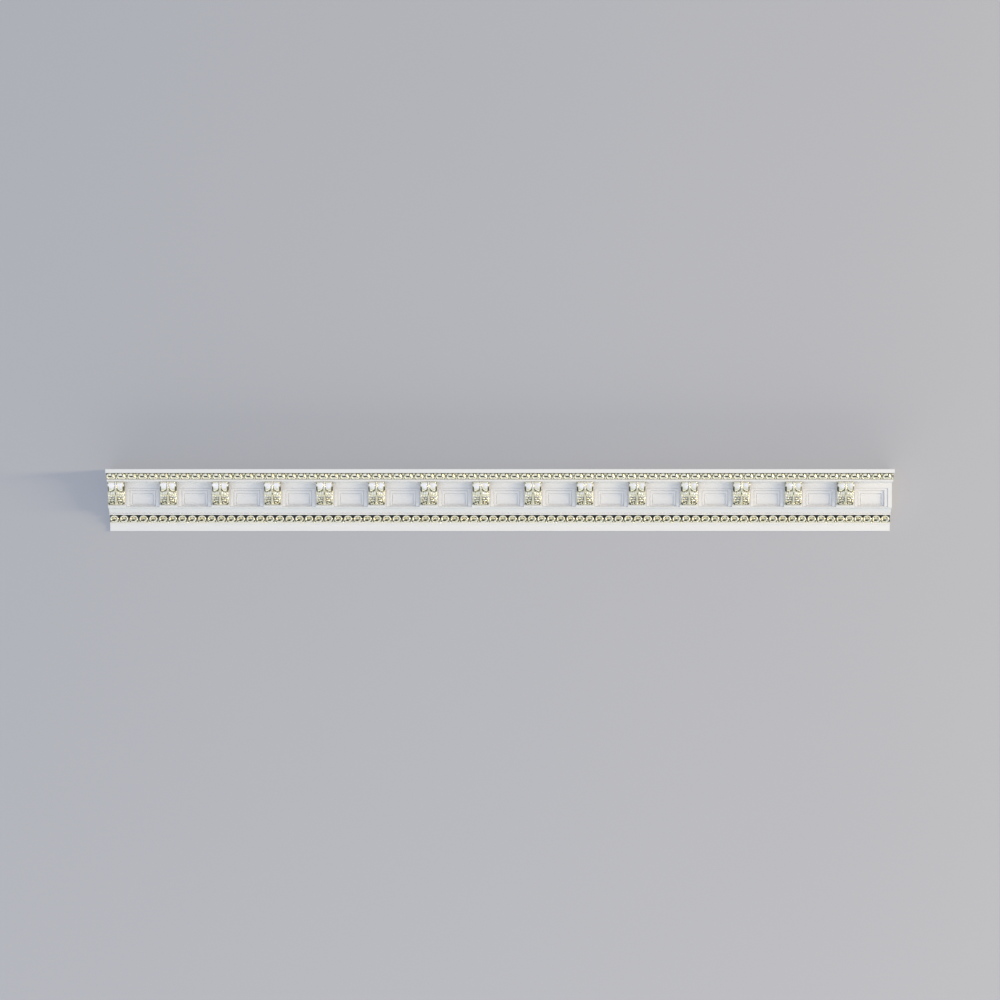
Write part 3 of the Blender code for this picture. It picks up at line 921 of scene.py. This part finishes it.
# %% One leaf of the band
LEAVES = 74
LEAF_PITCH = LENGTH / LEAVES
BED_DEPTH = 105.0
BED_FOOT = 157.9
BED_LEAN = 0.8
STAND_OUT = 0.78
STAND_DOWN = 0.625
BED_BACK = 0.2


def on_bed(x, level, stand):
    """A place on the leaning bed, at a level along it and a stand square off it."""
    depth = BED_DEPTH + BED_LEAN * (level - BED_FOOT) + STAND_OUT * stand
    return spot(x, depth, level - STAND_DOWN * stand)


BLADE_WIDTHS = (9.0, 11.4, 14.2, 14.9, 14.6, 13.2, 10.0, 0.0)
BLADE_TOP = 177.4
BLADE_LENGTH = 16.3
BLADE_STAND = 2.6


def blade(bm):
    """The broad dished blade, from under the fascia to its rounded tip."""

    def surface(u, s, stand):
        width = max(along(BLADE_WIDTHS, s), 0.0)
        reach = 1 - (1 - s) ** 1.3
        return on_bed(width * u, BLADE_TOP - BLADE_LENGTH * reach, stand)

    def front(u, s):
        rim = math.exp(-(((abs(u) - 0.84) / 0.13) ** 2))
        edge = 1.1 * max(abs(u) - 0.9, 0.0) / 0.1 + 1.2 * s ** 12
        return surface(u, s, BLADE_STAND + rim - edge)

    def back(u, s):
        return surface(u, s, BED_BACK)

    carve(bm, front, back, across=20, down=24, flat_back=True)


def bed_patch(bm, centre, top, bottom, widths, stands, swell, grid, lean=0.0, turn=0.0):
    """A carved leaf on the leaning bed, from a level down to another, turned to one side."""

    def surface(u, s, stand):
        width = max(along(widths, s), 0.0)
        return on_bed(centre + lean * (s - 0.5) + width * u, top + (bottom - top) * s, stand)

    def front(u, s):
        return surface(u, s, along(stands, s) - swell + swell * dome(u) - turn * u)

    def back(u, s):
        return surface(u, s, BED_BACK)

    carve(bm, front, back, *grid, flat_back=True)


LEAF_HOLLOWS = (
    # across, level, half sizes across and up, depth
    (-2.4, 166.6, 6.8, 2.2, 1.6), (-11.6, 176.8, 1.8, 1.5, 1.5), (10.0, 176.6, 2.0, 1.5, 1.2),
    (3.4, 173.9, 1.4, 1.5, 1.3), (5.4, 163.9, 1.8, 1.3, 1.3), (-9.2, 174.2, 1.6, 1.3, 0.5),
    (14.2, 168.0, 2.2, 3.2, 1.1), (-15.0, 169.0, 1.7, 3.4, 0.9),
)


def small_leaves(bm):
    """The rolled leaf and the two ears on the blade, each by its widths and its stands."""
    roll = ((4.0, 4.6, 5.2, 5.6, 5.8, 5.2), (2.4, 2.6, 3.0, 4.4, 6.2, 5.6))
    right_ear = ((1.2, 2.9, 3.3, 3.4, 3.0, 0.6), (2.6, 5.0, 7.2, 9.0, 9.6, 6.6))
    left_ear = ((0.0, 1.8, 2.4, 2.6, 2.4, 0.4), (2.6, 3.6, 4.6, 5.4, 5.4, 3.4))
    bed_patch(bm, -2.2, 177.2, 171.2, *roll, swell=1.0, grid=(10, 10))
    bed_patch(bm, 7.4, 177.2, 169.0, *right_ear, swell=0.5, grid=(8, 8), lean=0.8, turn=1.8)
    bed_patch(bm, -10.8, 175.2, 168.6, *left_ear, swell=0.8, grid=(6, 8), lean=-0.8)


def stem(bm):
    shape = ((3.8, 3.6, 2.6, 1.8, 1.6, 2.0, 2.6), (2.6, 2.8, 3.0, 3.0, 2.8, 2.4, 2.2))
    bed_patch(bm, 0.0, BLADE_TOP, 160.8, *shape, swell=0.8, grid=(6, 10))


STEM_HOLLOW = (0.0, 168.4, 3.6, 4.6, 0.9)
BED_INWARD = Vector((0, STAND_OUT, STAND_DOWN))

leaf_bm = bmesh.new()
blade(leaf_bm)
small_leaves(leaf_bm)
closed(leaf_bm)
sink_shaded_hollows(leaf_bm, LEAF_HOLLOWS, BED_INWARD)
stem_bm = bmesh.new()
stem(stem_bm)
closed(stem_bm)
sink_shaded_hollows(stem_bm, [STEM_HOLLOW], BED_INWARD)
print("leaf", len(leaf_bm.faces), "faces, stem", len(stem_bm.faces), "faces")

# %% [markdown]
# ## The whole leaf band
# The band is a thin leaning bar with seventy-four leaves on it. The bar is a box whose front and
# back are leaned by moving its corners. The row sits a few millimetres to the left, so its first
# leaf is cut by the square end, with the same plane that a saw would follow. The right end is
# trimmed in the same way.

# %% Repeat the leaves
LEAF_SHIFT = -2.8
LEAF_REACH = 0.0055
BAR_LEVELS = (159.3, 177.8)
BAR_STAND = 0.9
BAR_MIDDLE = 165.0
BAR_FOOT_SHADE = 0.4
BAR_HEAD_SHADE = 1.1
SAW_CUT = 1e-5


def leaf_bar(left, right):
    """The thin leaning bar that carries the leaves."""
    bm = bmesh.new()
    bm.verts.layers.float.new("tone")
    for vert in bmesh.ops.create_cube(bm, size=1.0)["verts"]:
        x = left if vert.co.x < 0 else right
        level = BAR_LEVELS[0] if vert.co.z < 0 else BAR_LEVELS[1]
        vert.co = on_bed(x, level, BAR_STAND if vert.co.y < 0 else 0.0)
    closed(bm)
    return bm


leaf_centres = [-HALF_LENGTH + (n + 0.5) * LEAF_PITCH + LEAF_SHIFT for n in range(LEAVES)]
stem_centres = [centre + LEAF_PITCH / 2 for centre in leaf_centres]
shade_cells(leaf_bm, stem_bm, LEAF_PITCH, leaf_bar(-SAMPLE_HALF, SAMPLE_HALF), LEAF_REACH)
bar = leaf_bar(-HALF_LENGTH, HALF_LENGTH)
bar_shade = bar.verts.layers.float.new("shade")
# painted shade: the bar is dark at its head, under the fascia, and lighter at its foot
for vert in bar.verts:
    below = vert.co.z * 1000 + ORIGIN_LEVEL < BAR_MIDDLE
    vert[bar_shade] = BAR_FOOT_SHADE if below else BAR_HEAD_SHADE
row = joined([(leaf_bm, leaf_centres), (stem_bm, stem_centres), (bar, [0.0])])
for end in (-1, 1):
    bmesh.ops.bisect_plane(
        row, geom=row.verts[:] + row.edges[:] + row.faces[:], clear_outer=True,
        plane_co=(end * (HALF_LENGTH / 1000 - SAW_CUT), 0, 0), plane_no=(end, 0, 0),
    )
    bmesh.ops.holes_fill(row, edges=[edge for edge in row.edges if edge.is_boundary], sides=0)
leaf_band = piece("leaf_band", row, "gilt_leaf", "leaf_strip")
for done in (row, leaf_bm, stem_bm, bar):
    done.free()
print("leaf band", len(leaf_band.data.polygons), "faces")

# %% [markdown]
# ## White paint
# The run is painted in a satin white. Sprayed and brushed paint is never quite even: it has a
# fine orange peel about a millimetre across, faint strokes along the run, and slightly warmer and
# cooler patches. All of it is noise on Object coordinates, in metres, so the scales are real.

# %% Paint nodes


def new_material(name):
    made = bpy.data.materials.new(name)
    made.use_nodes = True
    return made, made.node_tree, made.node_tree.nodes["Principled BSDF"]


def noise(tree, scale, stretch=(1, 1, 1), detail=3.0, rough=0.5):
    """Noise on Object coordinates, scale in cells a metre, and its factor output."""
    coordinates = tree.nodes.new("ShaderNodeTexCoord")
    mapping = tree.nodes.new("ShaderNodeMapping")
    mapping.inputs["Scale"].default_value = stretch
    grain = tree.nodes.new("ShaderNodeTexNoise")
    grain.inputs["Scale"].default_value = scale
    grain.inputs["Detail"].default_value = detail
    grain.inputs["Roughness"].default_value = rough
    tree.links.new(coordinates.outputs["Object"], mapping.inputs["Vector"])
    tree.links.new(mapping.outputs["Vector"], grain.inputs["Vector"])
    return grain.outputs["Fac"]


def ramp(tree, source, low, high, start, stop):
    """Maps source from low..high to start..stop, kept within them."""
    node = tree.nodes.new("ShaderNodeMapRange")
    node.inputs["From Min"].default_value = low
    node.inputs["From Max"].default_value = high
    node.inputs["To Min"].default_value = start
    node.inputs["To Max"].default_value = stop
    tree.links.new(source, node.inputs["Value"])
    return node.outputs["Result"]


def blend(tree, factor, first, second):
    """Mixes two colours, each a value or an output, by a factor output."""
    node = tree.nodes.new("ShaderNodeMix")
    node.data_type = "RGBA"
    tree.links.new(factor, node.inputs["Factor"])
    for socket, value in zip([s for s in node.inputs if s.type == "RGBA"], (first, second)):
        if isinstance(value, tuple):
            socket.default_value = value
        else:
            tree.links.new(value, socket)
    return [output for output in node.outputs if output.type == "RGBA"][0]


def bump(tree, source, distance, strength, below=None):
    node = tree.nodes.new("ShaderNodeBump")
    node.inputs["Distance"].default_value = distance
    node.inputs["Strength"].default_value = strength
    tree.links.new(source, node.inputs["Height"])
    if below:
        tree.links.new(below, node.inputs["Normal"])
    return node.outputs["Normal"]


def white_paint():
    made, tree, shader = new_material("white_paint")
    patches = ramp(tree, noise(tree, 5.0, detail=2.0), 0.35, 0.65, 0.0, 1.0)
    tone = blend(tree, patches, (0.81, 0.81, 0.81, 1), (0.83, 0.828, 0.82, 1))
    tree.links.new(tone, shader.inputs["Base Color"])
    strokes = noise(tree, 240.0, (0.05, 1, 1), 4.0)
    tree.links.new(ramp(tree, strokes, 0.3, 0.7, 0.44, 0.56), shader.inputs["Roughness"])
    peel = bump(tree, noise(tree, 700.0, detail=2.0), 0.0002, 0.2)
    tree.links.new(bump(tree, strokes, 0.0003, 0.12, peel), shader.inputs["Normal"])
    return made


body.data.materials.clear()
body.data.materials.append(white_paint())
print("white paint on", body.name)

# %% [markdown]
# ## Gilding with painted shade
# The gold is a pale champagne leaf under a thin varnish. Its tone changes from leaf to leaf, fine
# wrinkles catch the light, and a dark green-brown colour is painted into the crevices as shade.
# The shade attribute decides where it goes, and noise breaks its edge.

# %% Gilding nodes
LEAF_LIGHT = (0.95, 0.92, 0.76, 1)
LEAF_DEEP = (0.90, 0.85, 0.64, 1)
# the dark green-brown colour painted into crevices as shade
SHADE_GLAZE_COLOUR = (0.028, 0.030, 0.017, 1)
SHADE_EDGE_GRAIN = 0.16  # how much of the noise breaks the edge of the painted shade


def gilding(name, shade_from, shade_to):
    """Gold leaf painted dark as shade where the shade rises from the first value to the second."""
    made, tree, shader = new_material(name)
    attribute = tree.nodes.new("ShaderNodeAttribute")
    attribute.attribute_name = "shade"
    shade_grain = noise(tree, 420.0, detail=4.0)
    broken_shade = tree.nodes.new("ShaderNodeMath")
    broken_shade.operation = "MULTIPLY_ADD"
    broken_shade.inputs[1].default_value = SHADE_EDGE_GRAIN
    tree.links.new(shade_grain, broken_shade.inputs[0])
    tree.links.new(attribute.outputs["Fac"], broken_shade.inputs[2])
    shift = SHADE_EDGE_GRAIN / 2
    dark = ramp(tree, broken_shade.outputs[0], shade_from + shift, shade_to + shift, 0.0, 1.0)
    leaves = ramp(tree, noise(tree, 60.0), 0.35, 0.65, 0.0, 1.0)
    tone = blend(tree, leaves, LEAF_LIGHT, LEAF_DEEP)
    # painted shade: where the shade is high the gold turns to the dark colour and loses its metal
    tree.links.new(blend(tree, dark, tone, SHADE_GLAZE_COLOUR), shader.inputs["Base Color"])
    tree.links.new(ramp(tree, dark, 0.0, 1.0, 0.95, 0.2), shader.inputs["Metallic"])
    rough = ramp(tree, noise(tree, 160.0), 0.3, 0.7, 0.22, 0.36)
    tree.links.new(rough, shader.inputs["Roughness"])
    shader.inputs["Specular IOR Level"].default_value = 0.25
    shader.inputs["Coat Weight"].default_value = 0.1
    shader.inputs["Coat Roughness"].default_value = 0.15
    wrinkles = bump(tree, noise(tree, 900.0, detail=5.0, rough=0.6), 0.0002, 0.25)
    tree.links.new(wrinkles, shader.inputs["Normal"])
    return made


for made, finish in (
    (brackets, gilding("gilt_bracket_leaf", 0.40, 1.05)),
    ([egg_band], gilding("gilt_egg_band", 0.40, 1.0)),
    ([leaf_band], gilding("gilt_leaf_band", 0.22, 0.78)),
):
    for item in made:
        item.data.materials.clear()
        item.data.materials.append(finish)
print("gilding on", len(brackets) + 2, "pieces")

# %% [markdown]
# ## Wall and floor
# The cornice hangs on a plain grey wall over a pale floor. Both are single faces that only the
# camera sees: they throw no light back, so the lamps and the room alone light the moulding. Each
# is clear from behind, so that a view from the back or from under the floor still shows the
# cornice. The wall receives the cornice's shadow as a real wall does.

# %% Wall and floor


def plane(name, size, place, turn):
    bm = bmesh.new()
    bmesh.ops.create_grid(bm, x_segments=1, y_segments=1, size=0.5)
    bmesh.ops.scale(bm, verts=bm.verts[:], vec=(size[0], size[1], 1))
    bmesh.ops.rotate(bm, verts=bm.verts[:], matrix=Matrix.Rotation(turn, 3, "X"))
    bmesh.ops.translate(bm, verts=bm.verts[:], vec=place)
    mesh = bpy.data.meshes.new(name)
    bm.to_mesh(mesh)
    bm.free()
    made = bpy.data.objects.new(name, mesh)
    bpy.context.scene.collection.objects.link(made)
    made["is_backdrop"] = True
    return made


def clear_behind(tree, shader):
    """Lets a view from the back of a stage plane see through it."""
    clear = tree.nodes.new("ShaderNodeBsdfTransparent")
    side = tree.nodes.new("ShaderNodeNewGeometry")
    mix = tree.nodes.new("ShaderNodeMixShader")
    tree.links.new(side.outputs["Backfacing"], mix.inputs[0])
    tree.links.new(shader.outputs[0], mix.inputs[1])
    tree.links.new(clear.outputs[0], mix.inputs[2])
    tree.links.new(mix.outputs[0], tree.nodes["Material Output"].inputs["Surface"])


def wall_paint():
    made, tree, shader = new_material("wall_paint")
    tone = blend(tree, noise(tree, 1.2), (0.478, 0.484, 0.518, 1), (0.490, 0.494, 0.526, 1))
    tree.links.new(tone, shader.inputs["Base Color"])
    shader.inputs["Roughness"].default_value = 0.9
    shader.inputs["Specular IOR Level"].default_value = 0.2
    clear_behind(tree, shader)
    return made


wall = plane("wall", (9.0, 5.0), (0, 0.001, 0.6), math.radians(90))
wall.data.materials.append(wall_paint())
wall.visible_diffuse = False
wall.visible_glossy = False
wall.visible_transmission = False
wall.visible_shadow = False
floor = plane("floor", (11.0, 14.0), (-0.5, -3.0, -1.9), 0.0)
floor_finish, floor_tree, floor_shader = new_material("floor_finish")
grain = blend(floor_tree, noise(floor_tree, 6.0), (0.77, 0.765, 0.76, 1), (0.81, 0.805, 0.80, 1))
floor_tree.links.new(grain, floor_shader.inputs["Base Color"])
floor_shader.inputs["Roughness"].default_value = 0.8
clear_behind(floor_tree, floor_shader)
floor.data.materials.append(floor_finish)
floor.visible_diffuse = False
floor.visible_glossy = False
floor.visible_shadow = False
print("wall faces", wall.data.polygons[0].normal, "floor faces", floor.data.polygons[0].normal)

# %% [markdown]
# ## Lamps and camera
# The cornice is seen square on from eleven metres with a long lens, so the perspective is slight.
# An even pale room gives most of the light, from below as well as from above, which is why the
# underside of the nosing is nearly as bright as the frieze. A long slim warm lamp far to the
# right, a little above the cornice, leaves soft blue shadows on the left of each bracket and one
# beside the end. A wide lamp below lifts the undersides, and a weak cool one in front is what the
# smooth petals mirror.

# %% Lamps and camera
CAMERA_PLACE = (0, -11.066, 0.0008)
FOCAL_LENGTH = 129.28
ROOM_COLOUR = (0.580, 0.640, 0.675, 1)


def light(name, kind, place, colour, power):
    """A lamp that looks at the middle of the cornice and that the camera doesn't see."""
    data = bpy.data.lights.new(name, kind)
    data.energy = power
    data.color = colour
    made = bpy.data.objects.new(name, data)
    made.location = place
    made.rotation_euler = (-Vector(place)).to_track_quat("-Z", "Y").to_euler()
    made.visible_camera = False
    bpy.context.scene.collection.objects.link(made)
    return made


def strip_light(name, place, colour, power, width, height):
    made = light(name, "AREA", place, colour, power)
    made.data.shape = "RECTANGLE"
    made.data.size = width
    made.data.size_y = height


strip_light("key", (10.48, -5.81, 0.73), (1.0, 0.78, 0.46), 755, 6.6, 0.9)
strip_light("under", (0.0, -2.6, -4.5), (1.0, 0.93, 0.84), 83.0, 12.1, 2.8)
front = light("front", "SUN", (-1.73, -9.8, 0.87), (0.50, 0.50, 1.0), 0.33)
front.data.angle = math.radians(40)
world = bpy.data.worlds.new("room")
bpy.context.scene.world = world
world.use_nodes = True
world.node_tree.nodes["Background"].inputs["Color"].default_value = ROOM_COLOUR
world.node_tree.nodes["Background"].inputs["Strength"].default_value = 1.0

lens = bpy.data.cameras.new("camera")
lens.lens = FOCAL_LENGTH
lens.sensor_width = 36.0
lens.clip_end = 100.0
camera = bpy.data.objects.new("camera", lens)
camera.location = CAMERA_PLACE
camera.rotation_euler = (math.radians(90), 0, 0)
bpy.context.scene.collection.objects.link(camera)
bpy.context.scene.camera = camera
bpy.context.scene.view_settings.view_transform = "Standard"
print("camera", round(-camera.location.y, 2), "m from the wall")

# %% [markdown]
# ## The two boxes
# The box of the dressed model, without the wall and floor, is printed beside the box of the
# imported solids.

# %% Sizes and finish
sizes = {"cad": cad_box, "visual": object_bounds()}
sizes = {name: [list(corner) for corner in found] for name, found in sizes.items()}
print(sizes)
